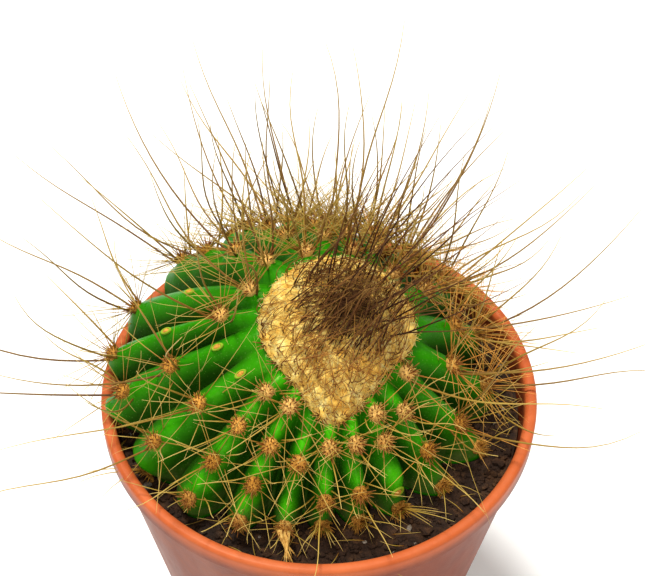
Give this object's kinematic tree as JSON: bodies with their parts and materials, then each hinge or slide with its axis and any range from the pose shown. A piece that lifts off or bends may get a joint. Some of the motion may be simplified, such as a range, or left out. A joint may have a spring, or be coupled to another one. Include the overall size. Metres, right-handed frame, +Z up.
{
  "type": "potted parodia cactus",
  "caption": "Small round ribbed cactus with long bristly spines and a woolly crown, leaning in a tapered coral plant pot filled with dark peat.",
  "frame": {"origin": "middle of the flat underside of the pot", "axes": "+Z up along the pot's axis, -Y towards the front that the crown leans to, +X to the right seen from the front"},
  "size_m": [0.1546, 0.126, 0.138],
  "materials": {
    "pot": "satin coral plastic, slightly dusty",
    "soil": "damp dark peat with crumbs",
    "skin": "waxy, moderately glossy green skin",
    "areole_felt": "short tan felt",
    "spines": "smooth horny bristle, golden to brown",
    "wool": "fluffy cream wool",
    "crown_spines": "smooth horny bristle, dark brown"
  },
  "bodies": {
    "root": {"pot": "pot", "soil": "soil", "cactus_body": "skin", "crown_wool": "wool"}
  },
  "joints": []
}
